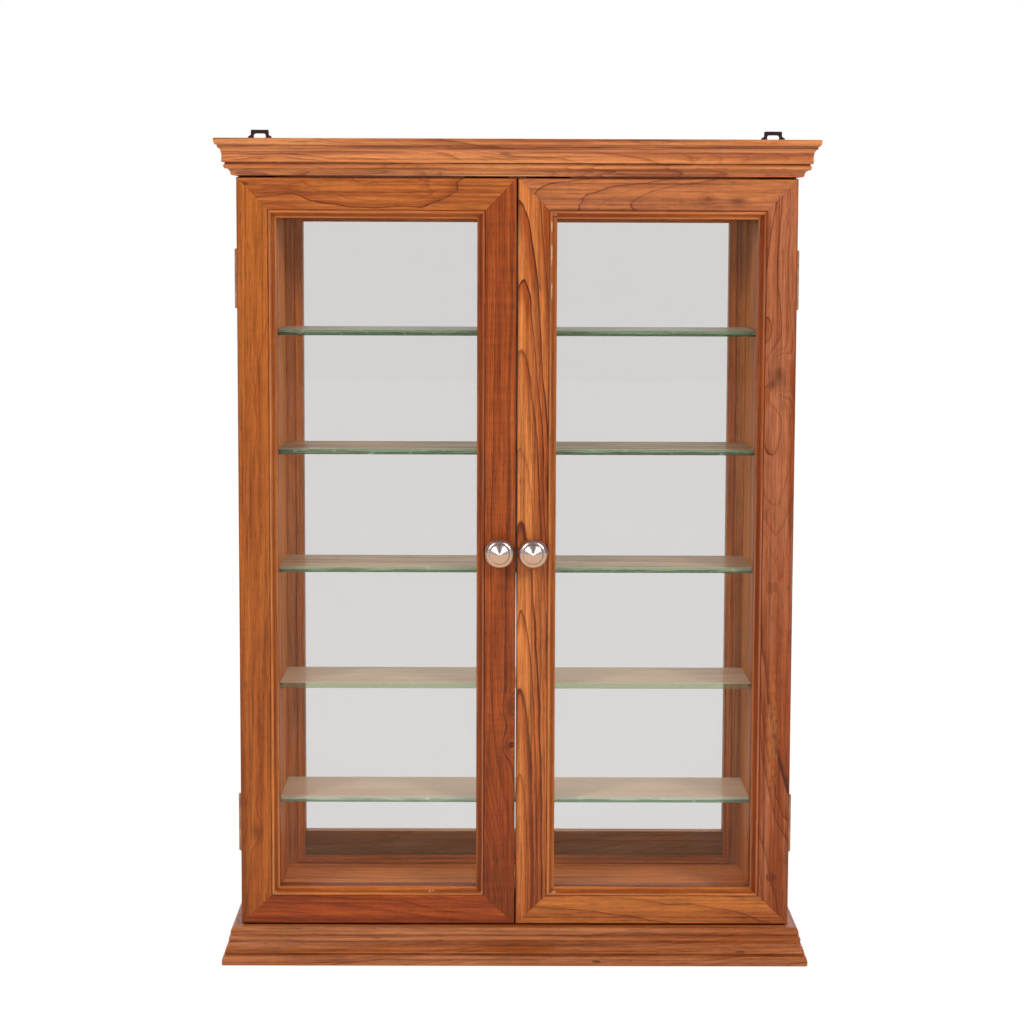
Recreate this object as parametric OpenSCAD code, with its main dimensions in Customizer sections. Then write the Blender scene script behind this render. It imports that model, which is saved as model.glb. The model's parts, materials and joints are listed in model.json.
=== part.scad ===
// Two-door glazed display cabinet in lacquered hardwood, with five glass shelves.
// Millimetres, +Z up, doors towards -Y. The origin is on the underside of the plinth,
// midway across its width and its depth.

/* [Cabinet] */
// Width over the two side panels
body_w = 508; // [470:1:600]
// Depth from the door faces to the back of the side panels
body_d = 140; // [130:1:200]
// Height of the base board and the plinth round it
base_h = 34.4; // [33:0.2:50]
// Height of the top board and the cornice round it
top_h = 33.1; // [32:0.1:50]
// Thickness of each side panel
side_t = 35.5; // [30:0.5:40]
// Thickness of the floor board
floor_t = 29.4; // [18:0.2:33]

/* [Doors] */
// Height of each door
door_h = 688; // [640:1:760]
// Thickness of the door frames
door_t = 20; // [18:0.5:24]
// Gap above and below each door
door_gap = 1.4; // [0.8:0.1:2.5]
// Gap between a closed door and the front edges of the carcass
door_clear = 1.5; // [0.8:0.1:2.5]
// Gap between the two meeting stiles
meet_gap = 1.4; // [1:0.1:4]
// Distance from the outer face of a side panel to the door's hinge edge
door_inset = 0.3; // [0:0.1:1]
// Flat width of a door stile, outside its bead
stile_flat = 28; // [26:0.5:34]
// Flat width of a top rail, outside its bead
top_flat = 29; // [26:0.5:36]
// Flat width of a bottom rail, outside its bead
bottom_flat = 26.5; // [24:0.5:36]

/* [Glazing] */
// Width of a glazing bead
bead_w = 7.5; // [6:0.5:10]
// Depth of a glazing bead, from the frame's face to the glass
bead_d = 8; // [7.5:0.5:9]
// Height of the bead's round ridge above the frame's face
bead_proud = 1.1; // [0.5:0.1:2]
// Thickness of the door and back panes
pane_t = 3; // [2:0.5:4]
// Clearance round the edge of a pane
pane_clear = 0.4; // [0.2:0.1:0.8]
// Gap between two bead strips at a mitre
bead_gap = 0.2; // [0.1:0.05:0.4]

/* [Back frame] */
// Flat width of a back stile, outside its bead
back_flat = 8; // [6:0.5:12]
// Thickness of the lip behind the back pane
back_lip_t = 12; // [8:0.5:14]
// Height of the bottom lip above the floor board
back_lip_h = 29.9; // [20:0.5:40]
// Height from the top lip's edge up to the top board
back_head_h = 41.2; // [30:0.2:60]

/* [Shelves] */
// Thickness of a glass shelf
shelf_t = 5; // [4:0.5:8]
// Gap between a shelf's back edge and the back frame
shelf_back = 3; // [2.5:0.5:20]
// Setback of the shelves from the front edges of the side panels
shelf_set = 2.5; // [1:0.5:3]
// Height of the first shelf's top above the floor board
shelf_1_up = 86.6; // [70:0.2:100]
// Height of the second shelf's top above the floor board
shelf_2_up = 194.3; // [180:0.1:210]
// Height of the third shelf's top above the floor board
shelf_3_up = 303; // [290:0.5:320]
// Height of the fourth shelf's top above the floor board
shelf_4_up = 412.4; // [400:0.2:430]
// Height of the top shelf's top above the floor board
shelf_5_up = 521.7; // [505:0.1:550]
// Depth of the grooves that hold the shelves
groove_d = 6; // [4:0.5:10]
// Height of a groove above its shelf
groove_clear = 0.4; // [0.2:0.1:1]

/* [Cornice] */
// Overhang of the cornice's cap
cap_out = 18.3; // [17:0.1:26]
// Overhang of the fillet below the cornice's long cove
frieze_out = 11.7; // [11:0.1:13]
// Overhang of the cornice's lower bead
low_out = 10.2; // [9:0.1:11]
// Overhang of the cornice's lowest edge
foot_out = 4.3; // [3:0.1:6]

/* [Plinth] */
// Overhang of the plinth's base
base_out = 16.8; // [16:0.1:24]
// Overhang of the plinth's sloping band
band_out = 14.4; // [13.5:0.1:15]
// Overhang of the plinth's upper bead
upper_out = 10.8; // [10:0.1:12]
// Overhang of the plinth's round top edge
nose_out = 9.2; // [8.5:0.1:10]

/* [Knobs] */
// Radius of a knob's rim
knob_r = 13.2; // [11.5:0.1:14]
// Projection of a knob's point from the door
knob_l = 28.6; // [26:0.1:34]
// Height of the knobs above the bottom of the doors
knob_up = 348.7; // [200:0.1:450]
// Distance from a door's meeting edge to its knob
knob_in = 14.6; // [14:0.1:16]

/* [Hinges] */
// Length of a hinge
hinge_l = 52; // [45:1:70]
// Distance from a door's end to the middle of its hinge
hinge_end = 91.5; // [70:0.5:140]
// Outer radius of a hinge knuckle
knuckle_r = 1.7; // [1.6:0.1:2.4]
// Radius of a hinge pin
pin_r = 0.8; // [0.7:0.05:1.1]
// Running clearance round a hinge pin
pin_clear = 0.05; // [0.02:0.01:0.09]
// Gap between neighbouring knuckles
knuckle_gap = 0.3; // [0.2:0.1:0.6]
// Width of a hinge leaf on the wood
leaf_w = 14; // [12:0.5:18]
// Thickness of a hinge leaf
leaf_t = 1; // [0.8:0.1:1.2]

/* [Screws] */
// Radius of a screw's shank
screw_r = 1.4; // [1.2:0.1:1.6]
// Radius of a countersunk screw head
screw_head_r = 2.7; // [2.5:0.1:3]
// Length of the screws through the hinge leaves and strikes
screw_l = 12; // [10:0.5:14]
// Clearance round screws in their holes
screw_clear = 0.05; // [0.02:0.01:0.1]

/* [Wall hangers] */
// Distance from a side panel's outer face to the middle of its hanger
hanger_in = 9.5; // [9:0.5:12]
// Thickness of a hanger plate
hanger_t = 2.5; // [2:0.5:4]
// Width of a hanger's neck
hanger_neck = 17; // [15:0.5:19]
// Width of a hanger's plate below the neck
hanger_w = 22.5; // [20:0.5:24]
// Height of a hanger above the cornice
hanger_up = 12.5; // [11:0.5:20]
// Length of a hanger's slot from end to end
hanger_slot_l = 11.6; // [8:0.2:12]
// Height of a hanger's slot
hanger_slot_h = 4.8; // [4:0.2:5]
// Length of a hanger plate below the top of the cornice
hanger_down = 68; // [64:1:90]

/* [Catches] */
// Length of a magnetic catch
catch_l = 40; // [36:1:50]
// Height of a magnetic catch
catch_h = 12; // [10:0.5:14]
// Depth of a magnetic catch
catch_d = 12.5; // [10:0.5:16]
// Distance from the centre of the cabinet to a catch
catch_in = 8; // [5:0.5:20]
// Gap between a catch and its closed strike plate
catch_gap = 0.3; // [0.2:0.1:0.6]

/* [Hidden] */
$fn = 48;

// Heights
door_z0 = base_h + door_gap;
door_z1 = door_z0 + door_h;
ceiling_z = door_z1 + door_gap;
total_h = ceiling_z + top_h;
floor_z = base_h + floor_t;

// Places across the depth
front_y = -(body_d - base_out) / 2;
back_y = front_y + body_d;
door_back_y = front_y + door_t;
carcass_y = door_back_y + door_clear;
back_frame_t = bead_d + pane_t + back_lip_t;
back_frame_y = back_y - back_frame_t;

// Places across the width
half_w = body_w / 2;
inner_x = half_w - side_t;
door_x0 = meet_gap / 2;
door_x1 = half_w - door_inset;

// Door members, from the outer edge to the inner edge of the lip
stile_w = stile_flat + bead_w;
top_w = top_flat + bead_w;
bottom_w = bottom_flat + bead_w;
rebate_d = bead_d + pane_t;

// Back frame openings: the rebate that holds the pane, and the lip behind it
back_rebate_x = inner_x - back_flat;
back_lip_x = back_rebate_x - bead_w;
back_lip_z0 = floor_z + back_lip_h;
back_lip_z1 = ceiling_z - back_head_h;
back_rebate_z1 = back_lip_z1 + bead_w;

// Shelves
shelf_y = carcass_y + shelf_set;
shelf_d = back_frame_y - shelf_back - shelf_y;
shelf_end_clear = 0.3;
shelf_half = inner_x + groove_d - shelf_end_clear;
shelf_up = [shelf_1_up, shelf_2_up, shelf_3_up, shelf_4_up, shelf_5_up];

// Hinges
knuckle_count = 5;
knuckle_out = 0.2;
axis_x = half_w + knuckle_out + knuckle_r;
axis_y = (door_back_y + carcass_y) / 2;
bore_r = pin_r + pin_clear;
pin_cap_r = knuckle_r - 0.3;
pin_cap_h = 1.2;
screw_rows = [-17 / 52 * hinge_l, 0, 17 / 52 * hinge_l];
leaf_screw_in = 8;

// Screws
screw_tip_l = 3;
slot_w = 0.7;
slot_d = 0.6;
long_screw_l = 20;

// Knobs
knob_z = door_z0 + knob_up;
knob_x = door_x0 + knob_in;
knob_screw_r = 2;
knob_bore_l = 12;
knob_head_r = 4;
knob_head_h = 2;

// Wall hangers
hanger_x = half_w - hanger_in;
hanger_top = total_h + hanger_up;
hanger_bar = 3.6;
slot_z = hanger_top - hanger_bar - hanger_slot_h / 2;
slot_end = (hanger_slot_l - hanger_slot_h) / 2;
shoulder_h = 1.8;
hanger_screw_z = [total_h - hanger_down + 12, ceiling_z + top_h / 2];

// Catches
strike_t = 1.2;
strike_l = 30;
strike_h = 9;
magnet_l = 24;
magnet_d = 4;
magnet_h = 7;
catch_y = door_back_y + strike_t + catch_gap;
catch_x = catch_in + catch_l / 2;
catch_screw_out = 16;

wood = "peru";
dark_wood = "sienna";
glass = [0.75, 0.9, 0.85, 0.45];
steel = "silver";
iron = "dimgray";
brass = "darkgoldenrod";

// An arc of an ellipse from angle a0 to a1
function arc(cx, cy, rx, ry, a0, a1, n = 8) =
    [for (i = [0 : n]) let (a = a0 + (a1 - a0) * i / n) [cx + rx * cos(a), cy + ry * sin(a)]];

// Cornice section: overhang and height above the underside of the top board.
// The long cove takes up any change of height.
cove_top = top_h - 8.9;
cornice_profile = concat(
    [[0, 0]],
    arc(foot_out - 1.9, 1.9, 1.9, 1.9, -90, 0, 5),
    arc(low_out - 0.4, 1.9, low_out - 0.4 - foot_out, 4.4, 180, 90, 7),
    arc(low_out - 1.5, 8.3, 1.5, 2.0, -75, 75, 6),
    [[low_out - 1.3, 10.7], [low_out - 1.3, 11.4]],
    arc(frieze_out - 0.8, 12.9, 0.8, 1.2, -90, 0, 4),
    arc(cap_out - 3.7, 16.4, cap_out - 3.7 - frieze_out + 0.2, cove_top - 16.4, 180, 90, 8),
    [[cap_out - 3.2, cove_top + 0.3], [cap_out - 3.2, cove_top + 2.1]],
    arc(cap_out - 2.9, top_h - 1.9, 2.9, 4.5, -90, 0, 7),
    arc(cap_out - 1.0, top_h - 1.0, 1.0, 1.0, 10, 90, 4),
    [[0, top_h]]);

// Plinth section: overhang and height above the underside of the base board.
// The cove between the band and the upper bead takes up any change of height.
plinth_cove = base_h - 12.8;
plinth_profile = concat(
    [[0, 0]],
    arc(base_out - 1.5, 1.6, 1.5, 1.6, -90, 0, 5),
    arc(base_out - 4.2, 3.4, 4.2, 7.4, 0, 50, 5),
    [[band_out - 0.9, 9.6], [band_out - 0.9, 10.9], [band_out, 11.7], [band_out - 1.5, 16.6]],
    arc(band_out - 1.5, plinth_cove, band_out - 1.5 - upper_out + 0.5, plinth_cove - 16.6, 270, 180, 6),
    arc(upper_out - 1.0, base_h - 10.5, 1.0, 2.0, -60, 60, 5),
    [[nose_out - 0.8, base_h - 8.0], [nose_out - 0.8, base_h - 6.9]],
    arc(nose_out - 3.0, base_h - 5.2, 3.0, 5.2, -18, 90, 8),
    [[0, base_h]]);

// Glazing bead section: distance in from the bead's outer edge, and height over the frame's face
ridge_r = 1.7;
bead_profile = concat(
    [[0, -bead_d], [0, bead_proud - ridge_r]],
    arc(ridge_r, bead_proud - ridge_r, ridge_r, ridge_r, 180, 20, 8),
    arc(bead_w - 1.2, 0, bead_w - 1.2 - 2 * ridge_r, 4.6, 180, 270, 7),
    [[bead_w, -4.7], [bead_w, -bead_d]]);

// A closed outline in the XZ plane, made solid from y0 to y1
module slab_xz(points, y0, y1)
    translate([0, y1, 0])
        rotate([90, 0, 0])
            linear_extrude(y1 - y0)
                polygon(points);

// A box from its two opposite corners
module block(lo, hi)
    translate(lo)
        cube(hi - lo);

// A countersunk wood screw with its head at the origin, running along +Z
module wood_screw(length) {
    head_h = leaf_t;
    difference() {
        union() {
            cylinder(r1 = screw_head_r, r2 = screw_r, h = head_h);
            translate([0, 0, head_h])
                cylinder(r = screw_r, h = length - head_h - screw_tip_l);
            translate([0, 0, length - screw_tip_l])
                cylinder(r1 = screw_r, r2 = 0.3, h = screw_tip_l);
        }
        block([-screw_head_r - 1, -slot_w / 2, -1], [screw_head_r + 1, slot_w / 2, slot_d]);
    }
}

// The hole that a wood screw of the same length fills
module screw_hole(length) {
    translate([0, 0, -0.01])
        cylinder(r1 = screw_head_r + 2 * screw_clear, r2 = screw_r + screw_clear, h = leaf_t + 0.06);
    translate([0, 0, -1])
        cylinder(r = screw_r + screw_clear, h = length + 1.3);
}

// Places its children, drawn along +Z, to run along +Y or -Y
module along_y(p, towards_back = true)
    translate(p)
        rotate([towards_back ? -90 : 90, 0, 0])
            children();

// ---------- Carcass ----------

module side_panel() color(wood) difference() {
    block([inner_x, carcass_y, base_h], [half_w, back_y, ceiling_z]);
    for (i = [0 : 4])
        block([inner_x - 1, carcass_y - 1, shelf_bottom(i)],
              [inner_x + groove_d, shelf_y + shelf_d + shelf_end_clear,
               shelf_bottom(i) + shelf_t + groove_clear]);
    for (z = hinge_heights) {
        block([half_w - leaf_w, carcass_y - 1, z - hinge_l / 2],
              [half_w + 1, carcass_y + leaf_t, z + hinge_l / 2]);
        for (row = screw_rows)
            along_y([half_w - leaf_screw_in, carcass_y, z + row])
                screw_hole(screw_l);
    }
    along_y([hanger_x, back_y, hanger_screw_z[0]], false)
        screw_hole(long_screw_l);
}

hinge_heights = [door_z0 + hinge_end, door_z1 - hinge_end];
function shelf_bottom(i) = floor_z + shelf_up[i] - shelf_t;

module base_board() color(dark_wood)
    block([-half_w, front_y, 0], [half_w, back_y, base_h]);

module top_board() color(dark_wood) difference() {
    block([-half_w, front_y, ceiling_z], [half_w, back_y, total_h]);
    for (side = [-1, 1]) {
        along_y([side * hanger_x, back_y, hanger_screw_z[1]], false)
            screw_hole(long_screw_l);
        for (x = [-catch_screw_out, catch_screw_out])
            translate([side * (catch_x + x), catch_y + catch_d / 2, ceiling_z - 1])
                cylinder(r = screw_r + screw_clear, h = screw_l);
    }
}

module floor_board() color(wood)
    block([-inner_x, carcass_y, base_h], [inner_x, back_frame_y, floor_z]);

// ---------- Back frame ----------

module back_stile() color(wood) difference() {
    block([back_lip_x, back_frame_y, base_h], [inner_x, back_y, ceiling_z]);
    back_rebate();
}

// The rebate that holds the back pane and its beads
module back_rebate()
    block([-back_rebate_x, back_frame_y - 1, floor_z], [back_rebate_x, back_y - back_lip_t, back_rebate_z1]);

module back_rail_top() color(wood) difference() {
    block([-back_lip_x, back_frame_y, back_lip_z1], [back_lip_x, back_y, ceiling_z]);
    back_rebate();
}

module back_rail_bottom() color(wood) difference() {
    block([-back_lip_x, back_frame_y, base_h], [back_lip_x, back_y, back_lip_z0]);
    back_rebate();
}

module back_glass() color(glass)
    block([-back_rebate_x + pane_clear, back_y - back_lip_t - pane_t, floor_z + pane_clear],
          [back_rebate_x - pane_clear, back_y - back_lip_t, back_rebate_z1 - pane_clear]);

module back_glazing_beads() color(wood)
    bead_frame(-back_rebate_x, back_rebate_x, floor_z, back_rebate_z1, back_frame_y);

// Four mitred bead strips inside the rectangle x0..x1, z0..z1, with their faces at face_y
module bead_frame(x0, x1, z0, z1, face_y) {
    top = face_y - bead_proud - 1;
    deep = face_y + bead_d;
    b = bead_w;
    g = bead_gap / 2;
    // left and right strips
    intersection() {
        bead_strip_z([x0, face_y, z0], z1 - z0, 1);
        slab_xz([[x0, z0 + g], [x0 + b, z0 + b + g], [x0 + b, z1 - b - g], [x0, z1 - g]], top, deep);
    }
    intersection() {
        bead_strip_z([x1, face_y, z0], z1 - z0, -1);
        slab_xz([[x1, z0 + g], [x1 - b, z0 + b + g], [x1 - b, z1 - b - g], [x1, z1 - g]], top, deep);
    }
    // bottom and top strips
    intersection() {
        bead_strip_x([x0, face_y, z0], x1 - x0, 1);
        slab_xz([[x0 + g, z0], [x0 + b + g, z0 + b], [x1 - b - g, z0 + b], [x1 - g, z0]], top, deep);
    }
    intersection() {
        bead_strip_x([x0, face_y, z1], x1 - x0, -1);
        slab_xz([[x0 + g, z1], [x0 + b + g, z1 - b], [x1 - b - g, z1 - b], [x1 - g, z1]], top, deep);
    }
}

// An upright strip of bead moulding whose width runs towards +X or -X
module bead_strip_z(p, length, inward)
    translate(p)
        linear_extrude(length)
            polygon([for (q = bead_profile) [inward * q[0], -q[1]]]);

// A level strip of bead moulding whose width runs towards +Z or -Z
module bead_strip_x(p, length, inward)
    translate(p)
        rotate([90, 0, 90])
            linear_extrude(length)
                polygon([for (q = bead_profile) [-q[1], inward * q[0]]]);

// ---------- Shelves ----------

module shelf(i) color(glass)
    block([-shelf_half, shelf_y, shelf_bottom(i)], [shelf_half, shelf_y + shelf_d, shelf_bottom(i) + shelf_t]);

// ---------- Mouldings ----------

// The front run of a moulding, mitred at both ends
module front_run(profile, out, z0, height) intersection() {
    translate([-half_w - out, front_y, z0])
        rotate([90, 0, 90])
            linear_extrude(body_w + 2 * out)
                polygon([for (q = profile) [-q[0], q[1]]]);
    translate([0, 0, z0 - 1])
        linear_extrude(height + 2)
            polygon([[-half_w, front_y], [half_w, front_y],
                     [half_w + out, front_y - out], [-half_w - out, front_y - out]]);
}

// The right-hand return of a moulding, mitred at its front end
module side_run(profile, out, z0, height) intersection() {
    translate([half_w, back_y, z0])
        rotate([90, 0, 0])
            linear_extrude(body_d + out)
                polygon(profile);
    translate([0, 0, z0 - 1])
        linear_extrude(height + 2)
            polygon([[half_w, back_y], [half_w + out, back_y],
                     [half_w + out, front_y - out], [half_w, front_y]]);
}

module cornice_front() color(wood) front_run(cornice_profile, cap_out, ceiling_z, top_h);
module cornice_right() color(wood) side_run(cornice_profile, cap_out, ceiling_z, top_h);
module plinth_front() color(wood) front_run(plinth_profile, base_out, 0, base_h);
module plinth_right() color(wood) side_run(plinth_profile, base_out, 0, base_h);

// ---------- Wall hangers ----------

module hanger() color(iron) difference() {
    translate([hanger_x, 0, 0])
        slab_xz([[-hanger_w / 2, total_h - hanger_down], [hanger_w / 2, total_h - hanger_down],
                 [hanger_w / 2, hanger_top - 6.6], [hanger_neck / 2, hanger_top - 6.6 + shoulder_h],
                 [hanger_neck / 2, hanger_top - 0.8], [hanger_neck / 2 - 0.8, hanger_top],
                 [0.8 - hanger_neck / 2, hanger_top], [-hanger_neck / 2, hanger_top - 0.8],
                 [-hanger_neck / 2, hanger_top - 6.6 + shoulder_h], [-hanger_w / 2, hanger_top - 6.6]],
                back_y, back_y + hanger_t);
    block([hanger_x - slot_end, back_y - 1, slot_z - hanger_slot_h / 2],
          [hanger_x + slot_end, back_y + hanger_t + 1, slot_z + hanger_slot_h / 2]);
    for (end = [-slot_end, slot_end])
        along_y([hanger_x + end, back_y - 1, slot_z])
            cylinder(r = hanger_slot_h / 2, h = hanger_t + 2);
    for (z = hanger_screw_z)
        along_y([hanger_x, back_y + hanger_t, z], false)
            screw_hole(long_screw_l);
}

module hanger_screws() color(steel)
    for (side = [-1, 1], z = hanger_screw_z)
        along_y([side * hanger_x, back_y + hanger_t, z], false)
            wood_screw(long_screw_l);

// ---------- Hinges ----------

// Length of one knuckle and the foot of knuckle k, for a hinge whose middle is at z
knuckle_l = (hinge_l - (knuckle_count - 1) * knuckle_gap) / knuckle_count;
function knuckle_z(z, k) = z - hinge_l / 2 + k * (knuckle_l + knuckle_gap);

// One hinge leaf with the knuckles listed in which, on the right-hand side
module hinge_leaf(z, y0, y1, which, towards_back) difference() {
    union() {
        block([half_w - leaf_w + 0.05, y0, z - hinge_l / 2 + 0.05], [half_w, y1, z + hinge_l / 2 - 0.05]);
        for (k = which) {
            block([half_w - 1, y0, knuckle_z(z, k)], [axis_x, y1, knuckle_z(z, k) + knuckle_l]);
            translate([axis_x, axis_y, knuckle_z(z, k)])
                cylinder(r = knuckle_r, h = knuckle_l);
        }
    }
    translate([axis_x, axis_y, z - hinge_l])
        cylinder(r = bore_r, h = 2 * hinge_l);
    for (row = screw_rows)
        along_y([half_w - leaf_screw_in, towards_back ? y0 : y1, z + row], towards_back)
            screw_hole(screw_l);
}

module cabinet_leaf(z) color(brass) hinge_leaf(z, carcass_y, carcass_y + leaf_t, [0, 2, 4], true);
module door_leaf(z) color(brass) hinge_leaf(z, door_back_y - leaf_t, door_back_y, [1, 3], false);

module hinge_pins() color(brass)
    for (z = hinge_heights)
        translate([axis_x, axis_y, z - hinge_l / 2]) {
            cylinder(r = pin_r, h = hinge_l);
            translate([0, 0, hinge_l])
                cylinder(r = pin_cap_r, h = pin_cap_h);
            translate([0, 0, -pin_cap_h])
                cylinder(r = pin_cap_r, h = pin_cap_h);
        }

module cabinet_hinge_screws() color(brass)
    for (side = [-1, 1], z = hinge_heights, row = screw_rows)
        along_y([side * (half_w - leaf_screw_in), carcass_y, z + row])
            wood_screw(screw_l);

// ---------- Catches ----------

module magnetic_catches() color(dark_wood)
    for (side = [-1, 1]) difference() {
        block([side * catch_x - catch_l / 2, catch_y, ceiling_z - catch_h],
              [side * catch_x + catch_l / 2, catch_y + catch_d, ceiling_z]);
        block([side * catch_x - magnet_l / 2, catch_y - 1, ceiling_z - catch_h / 2 - magnet_h / 2],
              [side * catch_x + magnet_l / 2, catch_y + magnet_d, ceiling_z - catch_h / 2 + magnet_h / 2]);
        for (x = [-catch_screw_out, catch_screw_out])
            translate([side * catch_x + x, catch_y + catch_d / 2, ceiling_z - catch_h])
                screw_hole(catch_h + 1);
    }

module catch_magnets() color(iron)
    for (side = [-1, 1])
        block([side * catch_x - magnet_l / 2, catch_y, ceiling_z - catch_h / 2 - magnet_h / 2],
              [side * catch_x + magnet_l / 2, catch_y + magnet_d, ceiling_z - catch_h / 2 + magnet_h / 2]);

module catch_screws() color(steel)
    for (side = [-1, 1], x = [-catch_screw_out, catch_screw_out])
        translate([side * catch_x + x, catch_y + catch_d / 2, ceiling_z - catch_h])
            wood_screw(catch_h + screw_l - 3);

strike_z = ceiling_z - catch_h / 2;

module strike_plate() color(steel) difference() {
    block([catch_x - strike_l / 2, door_back_y, strike_z - strike_h / 2],
          [catch_x + strike_l / 2, door_back_y + strike_t, strike_z + strike_h / 2]);
    along_y([catch_x, door_back_y + strike_t, strike_z], false)
        screw_hole(screw_l);
}

// ---------- Doors, drawn as the right-hand one ----------

// The rebate that holds the door's pane and beads
module door_rebate()
    block([door_x0 + stile_flat, front_y - 1, door_z0 + bottom_flat],
          [door_x1 - stile_flat, front_y + rebate_d, door_z1 - top_flat]);

module hinge_stile() color(wood) difference() {
    slab_xz([[door_x1, door_z0], [door_x1, door_z1],
             [door_x1 - stile_w, door_z1 - top_w], [door_x1 - stile_w, door_z0 + bottom_w]],
            front_y, door_back_y);
    door_rebate();
    for (z = hinge_heights) {
        block([half_w - leaf_w, door_back_y - leaf_t, z - hinge_l / 2],
              [half_w + 1, door_back_y + 1, z + hinge_l / 2]);
        for (row = screw_rows)
            along_y([half_w - leaf_screw_in, door_back_y, z + row], false)
                screw_hole(screw_l);
    }
}

module meeting_stile() color(wood) difference() {
    slab_xz([[door_x0, door_z0], [door_x0, door_z1],
             [door_x0 + stile_w, door_z1 - top_w], [door_x0 + stile_w, door_z0 + bottom_w]],
            front_y, door_back_y);
    door_rebate();
    along_y([knob_x, front_y - 1, knob_z])
        cylinder(r = knob_screw_r + 0.1, h = door_t + 2);
}

module top_rail() color(wood) difference() {
    slab_xz([[door_x0, door_z1], [door_x1, door_z1],
             [door_x1 - stile_w, door_z1 - top_w], [door_x0 + stile_w, door_z1 - top_w]],
            front_y, door_back_y);
    door_rebate();
    along_y([catch_x, door_back_y, strike_z], false)
        screw_hole(screw_l);
}

module bottom_rail() color(wood) difference() {
    slab_xz([[door_x0, door_z0], [door_x1, door_z0],
             [door_x1 - stile_w, door_z0 + bottom_w], [door_x0 + stile_w, door_z0 + bottom_w]],
            front_y, door_back_y);
    door_rebate();
}

module door_glass() color(glass)
    block([door_x0 + stile_flat + pane_clear, front_y + bead_d, door_z0 + bottom_flat + pane_clear],
          [door_x1 - stile_flat - pane_clear, front_y + rebate_d, door_z1 - top_flat - pane_clear]);

module glazing_beads() color(wood)
    bead_frame(door_x0 + stile_flat, door_x1 - stile_flat,
               door_z0 + bottom_flat, door_z1 - top_flat, front_y);

// Knob section: radius and distance from the door's face
neck_r = 4.7;
rim_h = knob_l - 9.2;
ring_r = knob_r - 4;
knob_profile = concat(
    [[0, 0], [6.6, 0], [6.6, 1.2]],
    arc(neck_r + 1.9, 2.8, 1.9, 1.6, 270, 180, 4),
    arc(neck_r + 1.6, 3.4, 1.6, 1.6, 180, 90, 3),
    arc(knob_r - 3.0, 8.6, 3.0, 3.2, -80, 0, 5),
    arc(ring_r - 0.6, rim_h, knob_r - ring_r + 0.6, 5.0, 6, 68, 7),
    [[ring_r, rim_h + 4.0], [ring_r - 0.5, rim_h + 4.0], [ring_r - 0.8, rim_h + 4.7],
     [0.5, knob_l - 0.2], [0, knob_l]]);

module knob() color(steel) difference() {
    along_y([knob_x, front_y, knob_z], false)
        rotate_extrude($fn = 96)
            polygon(knob_profile);
    along_y([knob_x, front_y + 1, knob_z], false)
        cylinder(r = knob_screw_r + screw_clear, h = knob_bore_l + 1);
}

module knob_screw() color(steel) difference() {
    union() {
        along_y([knob_x, door_back_y + knob_head_h, knob_z], false)
            cylinder(r1 = knob_head_r - 0.6, r2 = knob_head_r, h = knob_head_h);
        along_y([knob_x, door_back_y, knob_z], false)
            cylinder(r = knob_screw_r, h = door_t + knob_bore_l - 1);
    }
    block([knob_x - knob_head_r, door_back_y + knob_head_h - 0.9, knob_z - 0.5],
          [knob_x + knob_head_r, door_back_y + knob_head_h + 1, knob_z + 0.5]);
}

module door_screws() color(brass) {
    for (z = hinge_heights, row = screw_rows)
        along_y([half_w - leaf_screw_in, door_back_y, z + row], false)
            wood_screw(screw_l);
    along_y([catch_x, door_back_y + strike_t, strike_z], false)
        wood_screw(screw_l);
}

// Turns a right-hand piece into the left-hand one
module left() mirror([1, 0, 0]) children();

left() side_panel();  // left_side_panel
side_panel();  // right_side_panel
base_board();
top_board();
floor_board();
left() back_stile();  // back_stile_left
back_stile();  // back_stile_right
back_rail_top();
back_rail_bottom();
back_glass();
back_glazing_beads();
cornice_front();
left() cornice_right();  // cornice_left
cornice_right();
plinth_front();
left() plinth_right();  // plinth_left
plinth_right();
shelf(0);  // shelf_1
shelf(1);  // shelf_2
shelf(2);  // shelf_3
shelf(3);  // shelf_4
shelf(4);  // shelf_5
left() hanger();  // hanger_left
hanger();  // hanger_right
hanger_screws();
left() cabinet_leaf(hinge_heights[1]);  // hinge_leaf_left_upper
left() cabinet_leaf(hinge_heights[0]);  // hinge_leaf_left_lower
cabinet_leaf(hinge_heights[1]);  // hinge_leaf_right_upper
cabinet_leaf(hinge_heights[0]);  // hinge_leaf_right_lower
left() hinge_pins();  // hinge_pins_left
hinge_pins();  // hinge_pins_right
cabinet_hinge_screws();
magnetic_catches();
catch_magnets();
catch_screws();
left() hinge_stile();  // left_hinge_stile
left() meeting_stile();  // left_meeting_stile
left() top_rail();  // left_top_rail
left() bottom_rail();  // left_bottom_rail
left() door_glass();  // left_door_glass
left() glazing_beads();  // left_glazing_beads
left() knob();  // left_knob
left() knob_screw();  // left_knob_screw
left() door_leaf(hinge_heights[1]);  // left_door_leaf_upper
left() door_leaf(hinge_heights[0]);  // left_door_leaf_lower
left() door_screws();  // left_door_screws
left() strike_plate();  // left_strike_plate
hinge_stile();  // right_hinge_stile
meeting_stile();  // right_meeting_stile
top_rail();  // right_top_rail
bottom_rail();  // right_bottom_rail
door_glass();  // right_door_glass
glazing_beads();  // right_glazing_beads
knob();  // right_knob
knob_screw();  // right_knob_screw
door_leaf(hinge_heights[1]);  // right_door_leaf_upper
door_leaf(hinge_heights[0]);  // right_door_leaf_lower
door_screws();  // right_door_screws
strike_plate();  // right_strike_plate
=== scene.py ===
"""Looks for a glazed display cabinet in lacquered timber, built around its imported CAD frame."""

import json
import math

import bmesh
import bpy
from bpy.props import FloatProperty, FloatVectorProperty, PointerProperty
from mathutils import Matrix, Vector


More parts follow.
